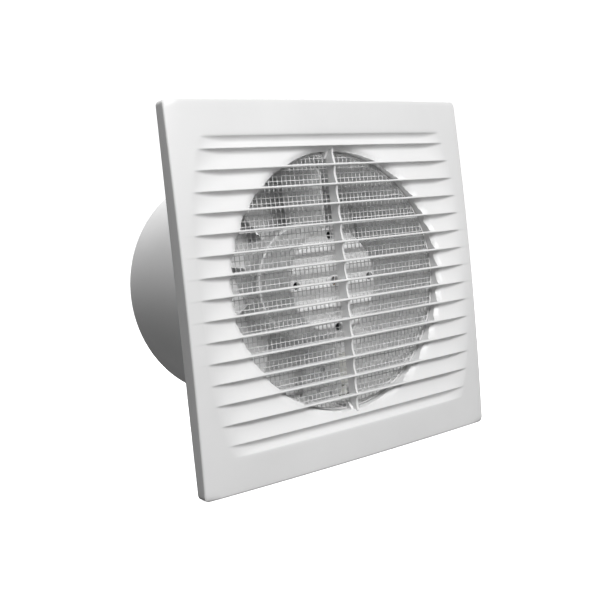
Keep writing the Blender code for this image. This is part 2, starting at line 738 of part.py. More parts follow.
def fan_blade(number):
    """A twisted blade, lofted from the hub to its tip."""
    turn = FIRST_BLADE + 2 * math.pi * number / BLADE_COUNT
    sections = []
    for share in (0.0, 0.35, 0.7, 1.0):
        radius = HUB_R - HUB_WALL / 2 + (FAN_BLADE_TIP_R - HUB_R + HUB_WALL / 2) * share
        pitch = math.radians(ROOT_PITCH + (TIP_PITCH - ROOT_PITCH) * share)
        chord = ROOT_CHORD + (TIP_CHORD - ROOT_CHORD) * share
        upper = []
        lower = []
        for step in range(5):
            along = step / 4 - 0.5
            camber = 0.06 * chord * (1 - 4 * along * along)
            half = FAN_BLADE_THICK / 2 * (1 - 1.6 * abs(along) ** 2)
            upper.append((along * chord, camber + half))
            lower.append((along * chord, camber - half))
        section = []
        for length, height in upper + lower[::-1]:
            around = length * math.cos(pitch) - height * math.sin(pitch)
            y = FAN_BLADE_MIDDLE_Y + length * math.sin(pitch) + height * math.cos(pitch)
            angle = turn - around / radius
            section.append((radius * math.cos(angle), y, radius * math.sin(angle)))
        sections.append(section)
    return loft(f"fan_blade_{number}", sections)


def build_impeller(material):
    inner = HUB_R - HUB_WALL
    bore = SHAFT_R + GAP / 2
    profile = [
        (HUB_R, HUB_BACK_Y), (HUB_R, HUB_FRONT_Y + 0.0030), (HUB_R - 0.0030, HUB_FRONT_Y),
        (bore, HUB_FRONT_Y), (bore, 0.0600), (0.0065, 0.0600), (0.0065, HUB_FRONT_Y + HUB_WALL),
        (inner - 0.0022, HUB_FRONT_Y + HUB_WALL), (inner, HUB_FRONT_Y + 0.0045), (inner, HUB_BACK_Y),
    ]
    impeller = turned("impeller", profile, material, AROUND_MOTOR)
    for number in range(BLADE_COUNT):
        join(impeller, fan_blade(number))
    return impeller


# Wiring

def smooth_route(points, count):
    """Evenly read points of a curve that passes through the given ones."""
    result = []
    spans = len(points) - 1
    for step in range(count + 1):
        at = spans * step / count
        i = min(int(at), spans - 1)
        t = at - i
        p1 = Vector(points[i])
        p2 = Vector(points[i + 1])
        p0 = Vector(points[i - 1]) if i > 0 else 2 * p1 - p2
        p3 = Vector(points[i + 2]) if i + 2 <= spans else 2 * p2 - p1
        result.append(0.5 * (2 * p1 + (p2 - p0) * t + (2 * p0 - 5 * p1 + 4 * p2 - p3) * t * t
                             + (3 * p1 - p0 - 3 * p2 + p3) * t ** 3))
    return result


def block_screw_place():
    """Where the terminal block's fixing screw crosses the strut."""
    middle = (BLOCK_LOW + BLOCK_HIGH) / 2
    return Vector((0.0, middle.y, middle.z))


def terminal_places():
    """Where the two terminal screws sit on the block's outer face."""
    middle = (BLOCK_LOW + BLOCK_HIGH) / 2
    return [Vector((BLOCK_HIGH.x, middle.y + side * 0.0064, middle.z)) for side in (-1, 1)]


def clamp_screw_places():
    middle = (CLAMP_LOW + CLAMP_HIGH) / 2
    return [Vector((0.0, middle.y + side * 0.0065, middle.z)) for side in (-1, 1)]


def build_terminal_block(material):
    """A two-way block: a wire channel and a screw well for each way, and one fixing hole."""
    body = block("terminal_block", BLOCK_LOW, BLOCK_HIGH, material)
    middle = (BLOCK_LOW + BLOCK_HIGH) / 2
    cut(body, rod("block_fixing", (-0.01, middle.y, middle.z), (0.03, middle.y, middle.z), 0.0018, "X",
                  sides=AROUND_TINY))
    cut(body, rod("block_fixing_well", (0.0090, middle.y, middle.z), (0.03, middle.y, middle.z), 0.0031, "X",
                  sides=AROUND_TINY))
    for number, place in enumerate(terminal_places()):
        cut(body, rod(f"terminal_well_{number}", (place.x - 0.0045, place.y, place.z),
                      (place.x + 0.01, place.y, place.z), 0.0024, "X", sides=AROUND_TINY))
        x = BLOCK_LOW.x + 0.0045
        cut(body, rod(f"terminal_channel_{number}", (x, place.y, BLOCK_LOW.z - 0.01),
                      (x, place.y, BLOCK_LOW.z + 0.0060), 0.0019, "Z", sides=AROUND_TINY))
    return body


def build_clamp(material):
    """The saddle that grips the mains cable against the strut."""
    body = block("cable_clamp", CLAMP_LOW, CLAMP_HIGH, material)
    middle = (CLAMP_LOW + CLAMP_HIGH) / 2
    cut(body, rod("clamp_channel", (CLAMP_LOW.x, middle.y, -0.08), (CLAMP_LOW.x, middle.y, -0.05), 0.0034, "Z"))
    for number, place in enumerate(clamp_screw_places()):
        cut(body, rod(f"clamp_bore_{number}", (place.x - 0.01, place.y, place.z), (0.02, place.y, place.z),
                      0.0015, "X", sides=AROUND_TINY))
    return body


def build_grommet(material):
    """The cable inlet: a rubber ring through the spigot's wall with a collar inside."""
    wall_in = -(SPIGOT_OUTER - SPIGOT_WALL)
    top = wall_in + 0.0040
    place = GROMMET_PLACE
    body = rod("cable_grommet", (place.x, place.y, -SPIGOT_OUTER + 0.0019), (place.x, place.y, top),
               GROMMET_R, "Z", material)
    join(body, rod("grommet_collar", (place.x, place.y, top - 0.0013), (place.x, place.y, top),
                   GROMMET_R + 0.0014, "Z"))
    cut(body, rod("grommet_bore", (place.x, place.y, -0.09), (place.x, place.y, -0.05), 0.0032, "Z"))
    return body


def build_wires(brown, blue, link):
    """The motor's own wires: one from each winding to the block, and one between the windings."""
    entry_z = BLOCK_HIGH.z + GAP
    far_x = 0.0185
    start_z = -POLE_HALF - CHEEK_OUT - GAP - LEAD_R
    hole = LEAD_HOLE
    live_x = hole.x + 0.0013
    neutral_x = hole.x - 0.0013
    live = [(far_x, LEAD_Y, start_z), (0.0145, LEAD_Y, -0.0190), (0.0085, LEAD_Y, -0.0270),
            (live_x, LEAD_Y, hole.z - 0.002), (live_x, LEAD_Y, entry_z)]
    neutral = [(-far_x, LEAD_Y, start_z), (-0.0095, LEAD_Y, -0.0190), (0.0010, LEAD_Y, -0.0262),
               (neutral_x, LEAD_Y, hole.z - 0.001), (neutral_x, LEAD_Y, entry_z)]
    top = [(-far_x, LEAD_Y, -start_z), (-0.0090, LEAD_Y, 0.0170), (0.0, LEAD_Y, 0.0185),
           (0.0090, LEAD_Y, 0.0170), (far_x, LEAD_Y, -start_z)]
    wire("lead_live", smooth_route(live, 14), LEAD_R, brown)
    wire("lead_neutral", smooth_route(neutral, 16), LEAD_R, blue)
    wire("coil_link", smooth_route(top, 14), LEAD_R, link)


def build_all():
    white = make_material("white_abs", (0.83, 0.83, 0.83), 0.38)
    casing_white = make_material("casing_abs", (0.78, 0.78, 0.78), 0.42)
    net = make_material("screen_net", (0.80, 0.80, 0.80), 0.60)
    rotor_grey = make_material("impeller_abs", (0.62, 0.62, 0.62), 0.45)
    steel = make_material("steel", (0.55, 0.55, 0.56), 0.35, 1.0)
    lamination = make_material("lamination_steel", (0.30, 0.30, 0.31), 0.45, 1.0)
    bronze = make_material("bronze", (0.55, 0.38, 0.20), 0.45, 1.0)
    copper = make_material("copper", (0.60, 0.27, 0.12), 0.40, 1.0)
    nylon = make_material("nylon", (0.72, 0.72, 0.68), 0.50)
    zinc = make_material("zinc", (0.60, 0.61, 0.62), 0.45, 1.0)
    rubber = make_material("rubber", (0.05, 0.05, 0.05), 0.70)
    brown = make_material("brown_pvc", (0.16, 0.06, 0.03), 0.50)
    blue = make_material("blue_pvc", (0.03, 0.10, 0.40), 0.50)
    grey = make_material("grey_pvc", (0.25, 0.25, 0.25), 0.50)

    build_casing(casing_white)
    build_cover(white)
    build_screen(net)
    build_impeller(rotor_grey)

    build_stator(lamination)
    for side, word in ((1, "right"), (-1, "left")):
        build_coil(side, word, nylon, copper)
        build_shading_ring(side, word, copper)
    build_rotor(lamination)
    bearing = BEARING_R, SHAFT_R + RUNNING_GAP
    turned("bearing_front", ring_profile(*bearing, CUP_FRONT_Y + CUP_WALL, 0.0074), bronze, AROUND_SMALL)
    turned("bearing_rear", ring_profile(*bearing, 0.0254, 0.0322), bronze, AROUND_SMALL)
    washer = 0.0044, SHAFT_R + GAP / 2
    turned("thrust_washer_front", ring_profile(*washer, 0.0078, 0.0086), nylon, AROUND_SMALL)
    turned("thrust_washer_rear", ring_profile(*washer, 0.0240, 0.0249), nylon, AROUND_SMALL)
    rod("motor_shaft", (0, CUP_FRONT_Y + CUP_WALL + GAP, 0), (0, 0.0675, 0), SHAFT_R, "Y", steel)
    nut = rod("impeller_nut", (0, 0.0603, 0), (0, 0.0643, 0), 0.0046, "Y", steel, 6)
    cut(nut, rod("nut_bore", (0, 0.055, 0), (0, 0.070, 0), SHAFT_R + GAP / 2, "Y"))
    build_bracket(zinc)
    for number, side in ((1, 1), (2, -1)):
        place = side * SCREW_PLACE * math.sqrt(0.5)
        screw(f"bracket_screw_{number}", (place, 0.0042, place), (place, BRACKET_BACK_Y + GAP, place), "Y",
              SCREW_R, 0.0027, 0.0019, steel)

    build_terminal_block(nylon)
    for word, place in zip(("live", "neutral"), terminal_places()):
        screw("terminal_screw_" + word, place - Vector((0.0042, 0, 0)), place - Vector((0.0020, 0, 0)), "X",
              0.0012, 0.0021, 0.0012, zinc)
    middle = block_screw_place()
    screw("terminal_block_screw", (-0.0020, middle.y, middle.z), (0.0093, middle.y, middle.z), "X",
          0.0014, 0.0026, 0.0018, steel)
    build_clamp(nylon)
    for number, place in enumerate(clamp_screw_places(), 1):
        screw(f"clamp_screw_{number}", (-0.0020, place.y, place.z), (CLAMP_HIGH.x + GAP, place.y, place.z), "X",
              0.0012, 0.0022, 0.0014, steel)
    build_grommet(rubber)
    build_wires(brown, blue, grey)


build_all()
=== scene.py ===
"""The looks of the bathroom extractor fan: its louvred cover, net, casing, impeller and finishes."""

import math

import bmesh
import bpy
import numpy as np
from mathutils import Matrix, Vector


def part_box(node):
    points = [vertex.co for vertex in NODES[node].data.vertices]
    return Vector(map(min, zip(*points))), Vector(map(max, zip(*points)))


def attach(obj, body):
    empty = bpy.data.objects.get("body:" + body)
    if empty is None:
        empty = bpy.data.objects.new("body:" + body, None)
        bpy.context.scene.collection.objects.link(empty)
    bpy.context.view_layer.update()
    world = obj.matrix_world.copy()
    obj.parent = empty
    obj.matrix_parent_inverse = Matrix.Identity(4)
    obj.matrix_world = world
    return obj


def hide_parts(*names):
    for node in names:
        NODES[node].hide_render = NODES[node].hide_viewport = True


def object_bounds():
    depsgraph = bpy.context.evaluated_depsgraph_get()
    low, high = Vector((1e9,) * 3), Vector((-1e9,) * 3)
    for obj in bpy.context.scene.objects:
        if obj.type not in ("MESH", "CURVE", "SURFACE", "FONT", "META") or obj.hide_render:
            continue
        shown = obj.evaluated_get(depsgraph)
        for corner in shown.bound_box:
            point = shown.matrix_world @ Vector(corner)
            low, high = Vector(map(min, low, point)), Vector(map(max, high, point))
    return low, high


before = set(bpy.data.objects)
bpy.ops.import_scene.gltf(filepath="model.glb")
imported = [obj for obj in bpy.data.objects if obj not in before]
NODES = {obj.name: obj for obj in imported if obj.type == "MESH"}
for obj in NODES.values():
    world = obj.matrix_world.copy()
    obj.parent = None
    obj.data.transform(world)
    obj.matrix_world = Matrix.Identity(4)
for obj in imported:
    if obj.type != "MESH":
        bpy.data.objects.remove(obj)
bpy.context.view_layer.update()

# Sizes shared with the CAD part, in metres
GAP = 0.0003
PANEL_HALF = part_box("grille_cover")[1].x
PANEL_CORNER = 0.0030
CORNER_DEPTH = 0.0078
CROWN = 0.0050
EDGE_ROUND = 0.0011
COVER_WALL = 0.0020
FLANGE_THICK = 0.0020
FLANGE_HALF = 0.1001
SPIGOT_OUTER = 0.0750
SPIGOT_WALL = 0.0022
SPIGOT_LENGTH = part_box("casing")[1].y
BORE = SPIGOT_OUTER - SPIGOT_WALL
OPENING_R = 0.0740
COLLAR_WALL = 0.0016
PITCH = 0.01094
MIDDLE_LIP_Z = 0.0006
LIPS_EACH_WAY = 7
END_PITCH = 0.6
LOUVRE_DEPTH = 0.0032
LOUVRE_REACH = 0.0951
LOUVRE_SHORTER = 0.0086
LOUVRE_TAPER = 0.0210
BLADE_THICK = 0.0013
BLADE_BACK_Y = -0.0062
RIB_THICK = 0.0013
RIB_RECESS = 0.0009
RIB_BACK_Y = -0.0035
TONGUE_HALF = 0.0022
TONGUE_SLIT = 0.0010
CUP_FRONT_Y = 0.0010
CUP_BACK_Y = 0.0300
CUP_FRONT_R = 0.0305
CUP_BACK_R = 0.0345
CUP_WALL = 0.0018
CUP_RIM_HEIGHT = 0.0030
CUP_RIM_PROUD = 0.0008
CUP_HOLE_R = 0.0023
CUP_HOLE_PLACE = 0.0267
BOSS_R = 0.0040
BEARING_R = 0.0050
BEARING_SEAT_DEPTH = 0.0050
BEARING_SEAT_WALL = 0.0018
STRUT_THICK = 0.0018
STRUT_FRONT_Y = 0.0045
STRUT_BACK_Y = 0.0420
STRUT_TONGUE_Y = 0.0085
SCREW_R = 0.0014
SCREW_POST_WALL = 0.0018
SCREW_PLACE = 0.0262
SHAFT_R = 0.0025
HUB_FRONT_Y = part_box("impeller")[0].y
HUB_BACK_Y = 0.0685
HUB_R = 0.0320
HUB_WALL = 0.0020
BLADE_COUNT = 9
FIRST_BLADE = 0.2
ROOT_PITCH = 30
TIP_PITCH = 12
ROOT_CHORD = 0.0340
TIP_CHORD = 0.0900
FAN_BLADE_TIP_R = 0.0718
FAN_BLADE_MIDDLE_Y = 0.0575
FAN_BLADE_THICK = 0.0020
WALL_HOLE_R = 0.0023
WALL_HOLE_PLACE = 0.0840
GROMMET_R = 0.0048
GROMMET_BORE = 0.0032
LEAD_HOLE_R = 0.0030

# Finer features that only the looks have
LIP_FLANK = 0.0033           # height of the dark flank under a louvre's lip
LIP_SOFTNESS = 0.00042       # half-width over which a louvre's corners are rounded
LIP_DROP = 0.0006            # how far a louvre's sharp edge lies below its nominal lip
SLOPE_BOW = 0.75             # how much a louvre's slope curves outwards towards its lip
FLANK_CURVE = 2.0            # above 1, a flank is steep under its lip and curves out at its foot
POINT_FLANK = 0.2            # height of the flank at a louvre's pointed ends, against its middle
RIB_FLANK = 0.0048           # the same height on the rib's edge
RIB_FOLLOW = 0.5             # depth of the rib's edge, against that of the louvres
MOUTH_ROUND = 0.0034         # how far the opening's edge is rolled inwards
ROOT_FILLET = 0.0012         # fillet between the spigot and the flange

# Places of the front grid's lines: shares of the edge's round, and heights below a lip and above a foot
EDGE_STEPS = (1.0, 0.7, 0.45, 0.25, 0.12, 0.04, 0.0)
LIP_STEPS = (0.00015, 0.00035, 0.0006, 0.0009, 0.0012, 0.0016, 0.0020, 0.0024, 0.0029, 0.0035)
FOOT_STEPS = (0.0006, 0.0003, 0.00012)
COARSE_STEP = 0.0022
FINE_STEP = 0.0011

BLADE_SETBACK = 0.00022      # how far a blade's front edge stands back from the dome
BLADE_BURIED = 0.0012        # how far a blade's ends reach into the louvres
BLADE_BACK_SHARE = 0.72      # thickness of a blade's back edge, against its front
HOLLOW_MARGIN = 0.0016       # wall between the louvres' feet and the cover's hollow
CLIP_WINDOW_HALF = 0.0026
CLIP_WINDOW_REACH = (0.0700, 0.0775)
FAN_BLADE_CAMBER = 0.06      # share of the chord
FAN_BLADE_STATIONS = (0, 0.08, 0.16, 0.25, 0.35, 0.45, 0.55, 0.65, 0.75, 0.84, 0.92, 0.97, 1.0)
SMOOTH_ANGLE = 35            # degrees; a sharper edge is shaded sharp
LAMINATION_SCALE = 320.0
TURN_SCALE = 500.0


# The cover's front, as arrays

FULL_LIPS = [MIDDLE_LIP_Z + PITCH * step for step in range(LIPS_EACH_WAY, -LIPS_EACH_WAY - 1, -1)]
LIPS = [FULL_LIPS[0] + END_PITCH * PITCH] + FULL_LIPS + [FULL_LIPS[-1] - END_PITCH * PITCH]
EDGES = [lip - LIP_DROP for lip in LIPS]


def dome_depth(x, z):
    """Height of the domed front above the wall's plane."""
    return CORNER_DEPTH + CROWN * (1 - (x * x + z * z) / (2 * PANEL_HALF ** 2))


def louvre_strength(x, z):
    """Depth of the louvres against their middle: 1, falling to 0 at their pointed ends."""
    reach = LOUVRE_REACH - LOUVRE_SHORTER * (np.abs(z) / (PITCH * LIPS_EACH_WAY)) ** 3
    inside = np.clip((reach - np.abs(x)) / LOUVRE_TAPER, 0, 1)
    return 1 - (1 - inside) ** 2


def sawtooth(z, flank):
    """Depth of the sharp sawtooth behind the dome: a flank under each lip, then a bowed slope."""
    deep = np.zeros_like(z)
    for upper, lower in zip(EDGES, EDGES[1:]):
        height = upper - lower
        full = LOUVRE_DEPTH * height / PITCH
        below = upper - z
        left = np.clip(1 - below / flank, 0, 1)
        steep = full * (1 - left ** FLANK_CURVE)
        share = (height - below) / (height - flank)
        slope = full * share * (1 + SLOPE_BOW * (1 - share))
        inside = (z <= upper) & (z >= lower)
        deep = np.where(inside, np.where(below < flank, steep, slope), deep)
    return deep


def soft_sawtooth(z, flank):
    """The sawtooth averaged over a short height, which rounds its lips and feet."""
    offsets = np.linspace(-1, 1, 9)
    weights = 1 - 0.6 * np.abs(offsets)
    total = sum(w * sawtooth(z + o * LIP_SOFTNESS, flank) for w, o in zip(weights, offsets))
    return total / weights.sum()


def edge_drop(x, z):
    """How far the surface rounds back at the front's outer edge."""
    straight = PANEL_HALF - PANEL_CORNER
    over_x = np.maximum(np.abs(x) - straight, 0)
    over_z = np.maximum(np.abs(z) - straight, 0)
    inside = PANEL_CORNER - np.hypot(over_x, over_z)
    flat = (over_x == 0) & (over_z == 0)
    inside = np.where(flat, PANEL_HALF - np.maximum(np.abs(x), np.abs(z)), inside)
    short = np.clip(EDGE_ROUND - inside, 0, EDGE_ROUND)
    return EDGE_ROUND - np.sqrt(EDGE_ROUND ** 2 - short ** 2)


def mouth_drop(x, z):
    """How far the surface rolls back on its way into the opening."""
    radius = np.hypot(x, z)
    short = np.clip(OPENING_R + MOUTH_ROUND - radius, 0, MOUTH_ROUND * 0.94)
    return MOUTH_ROUND - np.sqrt(MOUTH_ROUND ** 2 - short ** 2)


def front_y(x, z):
    strength = louvre_strength(x, z)
    flank = LIP_FLANK * (POINT_FLANK + (1 - POINT_FLANK) * strength)
    louvres = soft_sawtooth(z, flank) * strength
    return louvres + edge_drop(x, z) + mouth_drop(x, z) - dome_depth(x, z)


# Mesh helpers

def shade(mesh, smooth_angle=SMOOTH_ANGLE):
    mesh.shade_smooth()
    mesh.set_sharp_from_angle(angle=math.radians(smooth_angle))


def from_bmesh(name, shape, smooth_angle=SMOOTH_ANGLE):
    bmesh.ops.recalc_face_normals(shape, faces=shape.faces)
    mesh = bpy.data.meshes.new(name)
    shape.to_mesh(mesh)
    shape.free()
    thing = bpy.data.objects.new(name, mesh)
    bpy.context.scene.collection.objects.link(thing)
    shade(mesh, smooth_angle)
    return thing


def height_field(name, across, up, offset, back_y, depth_at=front_y):
    """A solid whose front is the louvred surface moved back by an offset, and whose back is flat."""
    xs, zs = np.meshgrid(across, up)
    ys = depth_at(xs, zs) + offset
    shape = bmesh.new()
    grid = [[shape.verts.new((x, y, z)) for x, y, z in zip(*row)] for row in zip(xs, ys, zs)]
    for lower, upper in zip(grid, grid[1:]):
        for i in range(len(across) - 1):
            shape.faces.new((lower[i], lower[i + 1], upper[i + 1], upper[i]))
    border = [edge for edge in shape.edges if edge.is_boundary]
    moved = bmesh.ops.extrude_edge_only(shape, edges=border)["geom"]
    for piece in moved:
        if isinstance(piece, bmesh.types.BMVert):
            piece.co.y = back_y
    bmesh.ops.contextual_create(shape, geom=[edge for edge in shape.edges if edge.is_boundary])
    return from_bmesh(name, shape)


def tube_solid(name, profile, sides, turn=0.0):
    """Turn a closed profile of (radius, y) about the duct's axis."""
    shape = bmesh.new()
    rings = []
    for radius, y in profile:
        if radius < 1e-7:
            rings.append([shape.verts.new((0, y, 0))] * sides)
            continue
        ring = []
        for k in range(sides):
            angle = 2 * math.pi * k / sides + turn
            ring.append(shape.verts.new((radius * math.cos(angle), y, radius * math.sin(angle))))
        rings.append(ring)
    closed = not (profile[0][0] < 1e-7 and profile[-1][0] < 1e-7)
    pairs = list(zip(rings, rings[1:])) + ([(rings[-1], rings[0])] if closed else [])
    for ring, following in pairs:
        for k in range(sides):
            j = (k + 1) % sides
            corners = [ring[k], ring[j], following[j], following[k]]
            corners = list(dict.fromkeys(corners))
            if len(corners) > 2:
                shape.faces.new(corners)
    return from_bmesh(name, shape)


def prism(name, outline, thickness, plane, place):
    """A plate from a 2D outline: (x, z) about y = place in XZ, or (y, z) about x = place in YZ."""
    shape = bmesh.new()
    half = thickness / 2
    to_space = {
        "XZ": lambda a, b, c: (a, place + c, b),
        "YZ": lambda a, b, c: (place + c, a, b),
    }[plane]
    low = [shape.verts.new(to_space(a, b, -half)) for a, b in outline]
    high = [shape.verts.new(to_space(a, b, half)) for a, b in outline]
    count = len(outline)
    for i in range(count):
        j = (i + 1) % count
        shape.faces.new((low[i], low[j], high[j], high[i]))
    shape.faces.new(low)
    shape.faces.new(high)
    return from_bmesh(name, shape)


def boolean(target, tools, operation):
    """Apply EXACT Booleans with several tools, and remove the tools."""
    group = bpy.data.collections.new("tools")
    for tool in tools:
        group.objects.link(tool)
    step = target.modifiers.new("boolean", "BOOLEAN")
    step.operation = operation
    step.solver = "EXACT"
    step.operand_type = "COLLECTION"
    step.collection = group
    apply_modifiers(target)
    for tool in tools:
        bpy.data.objects.remove(tool, do_unlink=True)
    bpy.data.collections.remove(group)


def apply_modifiers(thing):
    bpy.context.view_layer.update()
    evaluated = thing.evaluated_get(bpy.context.evaluated_depsgraph_get())
    mesh = bpy.data.meshes.new_from_object(evaluated)
    thing.modifiers.clear()
    thing.data = mesh
    shade(mesh)


def soften(thing, width):
    """Round the sharp edges."""
    bevel = thing.modifiers.new("bevel", "BEVEL")
    bevel.width = width
    bevel.segments = 2
    bevel.limit_method = "ANGLE"
    apply_modifiers(thing)


def rounded_square(half, radius):
    points = []
    steps = 10
    for quarter, (sign_x, sign_z) in enumerate(((1, 1), (-1, 1), (-1, -1), (1, -1))):
        for i in range(steps + 1):
            angle = math.radians(90 * quarter + 90 * i / steps)
            points.append((sign_x * (half - radius) + radius * math.cos(angle),
                           sign_z * (half - radius) + radius * math.sin(angle)))
    return points


def cylinder(name, radius, low_y, high_y, sides, turn=0.0):
    return tube_solid(name, [(0, high_y), (radius, high_y), (radius, low_y), (0, low_y)], sides, turn=turn)


def finish_piece(piece, material, body, slot, *nodes):
    """Give a piece its material, its body and the nodes that it stands for."""
    piece.data.materials.clear()
    piece.data.materials.append(material)
    if nodes:
        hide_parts(*nodes)
    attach(piece, body)


# Materials

class Nodes:
    """Small helper to wire a procedural material."""

    def __init__(self, name):
        self.material = bpy.data.materials.new(name)
        self.material.use_nodes = True
        self.tree = self.material.node_tree
        self.shader = self.tree.nodes["Principled BSDF"]
        self.place = self.tree.nodes.new("ShaderNodeTexCoord").outputs["Object"]

    def link(self, start, end):
        self.tree.links.new(start, end)

    def noise(self, scale, detail=3.0, roughness=0.5, stretch=None):
        node = self.tree.nodes.new("ShaderNodeTexNoise")
        node.inputs["Scale"].default_value = scale
        node.inputs["Detail"].default_value = detail
        node.inputs["Roughness"].default_value = roughness
        source = self.place
        if stretch is not None:
            mapping = self.tree.nodes.new("ShaderNodeMapping")
            mapping.inputs["Scale"].default_value = stretch
            self.link(self.place, mapping.inputs["Vector"])
            source = mapping.outputs["Vector"]
        self.link(source, node.inputs["Vector"])
        return node.outputs["Fac"]

    def ramp(self, value, stops):
        node = self.tree.nodes.new("ShaderNodeValToRGB")
        elements = node.color_ramp.elements
        while len(elements) < len(stops):
            elements.new(0.5)
        for element, (position, color) in zip(elements, stops):
            element.position = position
            element.color = (*color, 1.0)
        self.link(value, node.inputs["Fac"])
        return node.outputs["Color"]

    def span(self, value, low, high, from_low=0.3, from_high=0.7):
        node = self.tree.nodes.new("ShaderNodeMapRange")
        node.inputs["From Min"].default_value = from_low
        node.inputs["From Max"].default_value = from_high
        node.inputs["To Min"].default_value = low
        node.inputs["To Max"].default_value = high
        self.link(value, node.inputs["Value"])
        return node.outputs["Result"]

    def bump(self, height, strength, distance):
        node = self.tree.nodes.new("ShaderNodeBump")
        node.inputs["Strength"].default_value = strength
        node.inputs["Distance"].default_value = distance
        self.link(height, node.inputs["Height"])
        self.link(node.outputs["Normal"], self.shader.inputs["Normal"])


def moulded(name, color, roughness, grain=1400.0, depth=0.00003, tint=0.02):
    """Moulded plastic: a faint grain, a faint mottling, and soft flow marks in its gloss."""
    made = Nodes(name)
    light = tuple(min(1.0, c * (1 + tint)) for c in color)
    dark = tuple(c * (1 - tint) for c in color)
    mottle = made.noise(18.0, 4.0, 0.55)
    made.link(made.ramp(mottle, [(0.35, dark), (0.65, light)]), made.shader.inputs["Base Color"])
    gloss = made.span(made.noise(55.0, 3.0), roughness - 0.05, roughness + 0.06)
    made.link(gloss, made.shader.inputs["Roughness"])
    made.bump(made.noise(grain, 2.0, 0.6), 0.25, depth)
    made.shader.inputs["IOR"].default_value = 1.49
    return made.material


def metal(name, color, roughness, stretch=(1.0, 12.0, 1.0), tint=0.10):
    """Bare metal with fine tool marks and a slightly uneven tone."""
    made = Nodes(name)
    light = tuple(min(1.0, c * (1 + tint)) for c in color)
    dark = tuple(c * (1 - tint) for c in color)
    marks = made.noise(700.0, 3.0, 0.6, stretch)
    tone = made.ramp(made.noise(120.0, 4.0), [(0.3, dark), (0.7, light)])
    made.link(tone, made.shader.inputs["Base Color"])
    made.link(made.span(marks, roughness - 0.08, roughness + 0.12), made.shader.inputs["Roughness"])
    made.bump(marks, 0.2, 0.00002)
    made.shader.inputs["Metallic"].default_value = 1.0
    return made.material


def laminated(name):
    """Stacked sheet: thin dark lines between the laminations, which lie across the duct's axis."""
    made = Nodes(name)
    wave = made.tree.nodes.new("ShaderNodeTexWave")
    wave.bands_direction = "Y"
    wave.inputs["Scale"].default_value = LAMINATION_SCALE
    wave.inputs["Distortion"].default_value = 0.4
    made.link(made.place, wave.inputs["Vector"])
    lines = wave.outputs["Fac"]
    made.link(made.ramp(lines, [(0.2, (0.10, 0.10, 0.11)), (0.6, (0.34, 0.34, 0.35))]),
              made.shader.inputs["Base Color"])
    made.link(made.span(made.noise(300.0), 0.35, 0.6), made.shader.inputs["Roughness"])
    made.bump(lines, 0.4, 0.00006)
    made.shader.inputs["Metallic"].default_value = 0.9
    return made.material


def wound(name, color):
    """Enamelled wire: fine turns round the pole, which lies along X, with painted shade in the grooves
    between the turns.
    """
    made = Nodes(name)
    wave = made.tree.nodes.new("ShaderNodeTexWave")
    wave.bands_direction = "X"
    wave.inputs["Scale"].default_value = TURN_SCALE
    wave.inputs["Distortion"].default_value = 1.2
    wave.inputs["Detail Scale"].default_value = 0.6
    made.link(made.place, wave.inputs["Vector"])
    turns = wave.outputs["Fac"]
    # painted shade: the colour falls to 0.45 of the wire's own in the grooves between turns, on top of the
    # bump that shapes those grooves
    dark = tuple(c * 0.45 for c in color)
    made.link(made.ramp(turns, [(0.15, dark), (0.65, color)]), made.shader.inputs["Base Color"])
    made.link(made.span(made.noise(400.0), 0.25, 0.45), made.shader.inputs["Roughness"])
    made.bump(turns, 0.8, 0.00012)
    made.shader.inputs["Metallic"].default_value = 1.0
    made.shader.inputs["Coat Weight"].default_value = 0.4
    return made.material


WHITE = moulded("cover_plastic", (0.78, 0.78, 0.78), 0.40)
CASING_WHITE = moulded("casing_plastic", (0.90, 0.90, 0.90), 0.42)
NET = moulded("net_plastic", (0.61, 0.61, 0.61), 0.65)
FAN_GREY = moulded("impeller_plastic", (0.90, 0.90, 0.90), 0.50)
NYLON = moulded("nylon_plastic", (0.74, 0.74, 0.70), 0.48, grain=1100.0, tint=0.03)
RUBBER = moulded("rubber", (0.045, 0.045, 0.045), 0.70, grain=900.0, depth=0.00005, tint=0.12)
BROWN = moulded("brown_wire", (0.16, 0.06, 0.03), 0.45, tint=0.08)
BLUE = moulded("blue_wire", (0.03, 0.10, 0.40), 0.45, tint=0.08)
GREY = moulded("grey_wire", (0.25, 0.25, 0.25), 0.45, tint=0.08)
STEEL = metal("turned_steel", (0.55, 0.55, 0.56), 0.32)
ZINC = metal("cast_zinc", (0.58, 0.59, 0.60), 0.48, stretch=(1.0, 1.0, 1.0), tint=0.06)
BRONZE = metal("sintered_bronze", (0.55, 0.38, 0.20), 0.50, stretch=(2.0, 2.0, 2.0), tint=0.20)
COPPER = metal("copper_bar", (0.60, 0.28, 0.13), 0.36)
LAMINATED = laminated("laminated_steel")
WOUND = wound("enamelled_wire", (0.60, 0.27, 0.12))

# Nodes that keep their CAD shape
KEPT = {
    "stator_core": LAMINATED, "rotor_core": LAMINATED,
    "bobbin_left": NYLON, "bobbin_right": NYLON, "winding_left": WOUND, "winding_right": WOUND,
    "shading_ring_left": COPPER, "shading_ring_right": COPPER,
    "bearing_front": BRONZE, "bearing_rear": BRONZE,
    "thrust_washer_front": NYLON, "thrust_washer_rear": NYLON,
    "motor_bracket": ZINC, "bracket_screw_1": STEEL, "bracket_screw_2": STEEL, "impeller_nut": STEEL,
    "lead_live": BROWN, "lead_neutral": BLUE, "coil_link": GREY,
    "terminal_block": NYLON, "terminal_screw_live": ZINC, "terminal_screw_neutral": ZINC,
    "terminal_block_screw": STEEL, "cable_clamp": NYLON, "clamp_screw_1": STEEL, "clamp_screw_2": STEEL,
}

# The cover

def cover_columns():
    reach = LOUVRE_REACH
    inner = list(np.arange(0.0, 0.0700, COARSE_STEP))
    middle = list(np.arange(0.0704, reach, FINE_STEP))
    edge = [PANEL_HALF - EDGE_ROUND * s for s in EDGE_STEPS]
    right = inner + middle + [x for x in edge if x > reach + 0.0005]
    return np.array([-x for x in reversed(right[1:])] + right)


